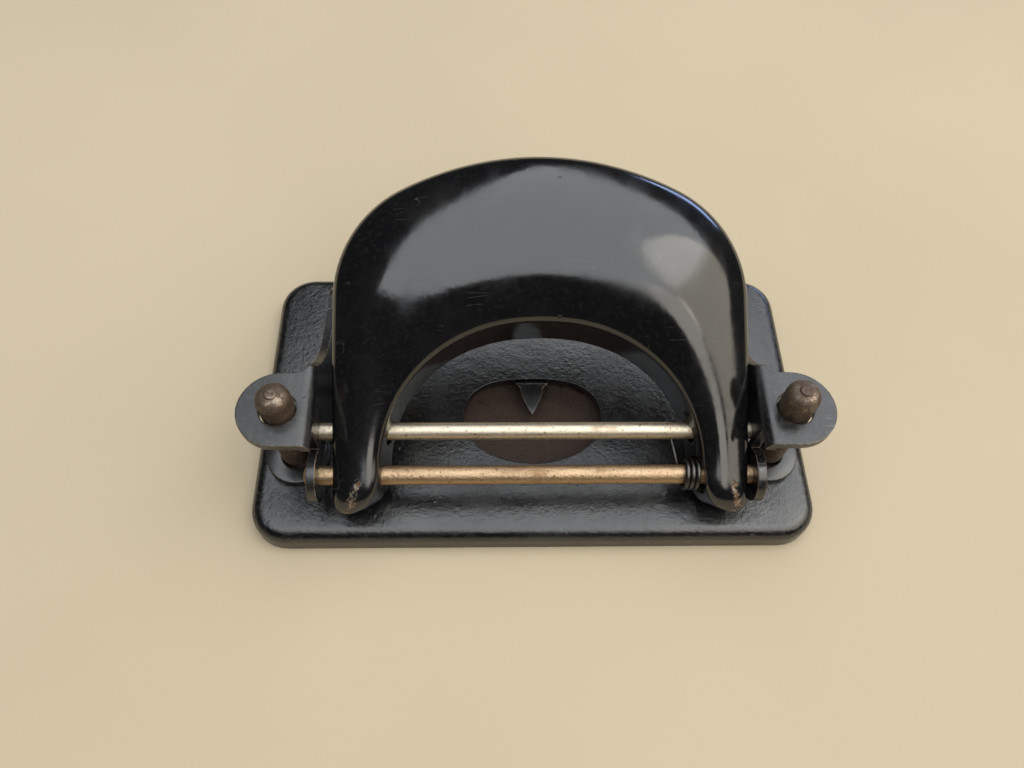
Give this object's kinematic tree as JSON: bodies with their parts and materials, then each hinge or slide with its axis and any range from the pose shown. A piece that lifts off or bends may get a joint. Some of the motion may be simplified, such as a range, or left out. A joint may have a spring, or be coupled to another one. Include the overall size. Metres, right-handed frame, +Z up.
{
  "type": "hole punch",
  "caption": "Desk punch for paper: domed horseshoe handle on a flat base, a sliding punch pin in a side bracket at each end, round front axle and rod, spring return.",
  "frame": {"origin": "on the table, under the middle of the whole object's box", "axes": "+Z up, +X along the line of the two pins to the user's right, +Y away from the user, towards the handle's crown"},
  "size_m": [0.0948, 0.0547, 0.0383],
  "materials": {
    "black_enamel": "glossy black stoving enamel over steel, chipped and worn brown at the edges",
    "rusty_sheet": "plain sheet steel with brown rust",
    "rusted_pin_steel": "turned steel, browned with light rust",
    "nickelled_steel": "dull nickel plate, yellowed",
    "coppered_steel": "worn copper-coloured plating, finely pitted",
    "spring_steel": "dark oiled spring steel"
  },
  "bodies": {
    "frame": {"base_plate": "black_enamel", "centre_pointer": "black_enamel", "pointer_rivet": "black_enamel", "slide_detent": "spring_steel", "detent_rivet": "black_enamel", "left_bracket": "black_enamel", "right_bracket": "black_enamel", "left_die_bush": "black_enamel", "right_die_bush": "black_enamel", "left_front_rivet": "black_enamel", "left_rear_rivet": "black_enamel", "right_front_rivet": "black_enamel", "right_rear_rivet": "black_enamel", "front_axle": "coppered_steel", "return_spring": "spring_steel"},
    "handle_lever": {"handle": "black_enamel"},
    "punch_unit": {"drive_rod": "nickelled_steel", "left_punch_pin": "rusted_pin_steel", "right_punch_pin": "rusted_pin_steel"},
    "chip_tray": {"chip_slide": "rusty_sheet"}
  },
  "joints": [
    {"name": "handle_press", "type": "hinge", "parent": "frame", "child": "handle_lever", "pos_m": [0, -0.01875, 0.0112], "axis": [-1, 0, 0], "range_deg": [0, 28], "stiffness_Nm_per_rad": 0.02, "springref_deg": -71.62, "deforming": ["return_spring"]},
    {"name": "punch_travel", "type": "slide", "parent": "frame", "child": "punch_unit", "axis": [0, 0, -1], "range_m": [0, 0.00336]},
    {"name": "chip_slide_out", "type": "slide", "parent": "frame", "child": "chip_tray", "axis": [0, 1, 0], "range_m": [0, 0.045]}
  ],
  "couplings": [
    {"joint": "punch_travel", "follows": "handle_press", "m_per_rad": 0.00687}
  ]
}
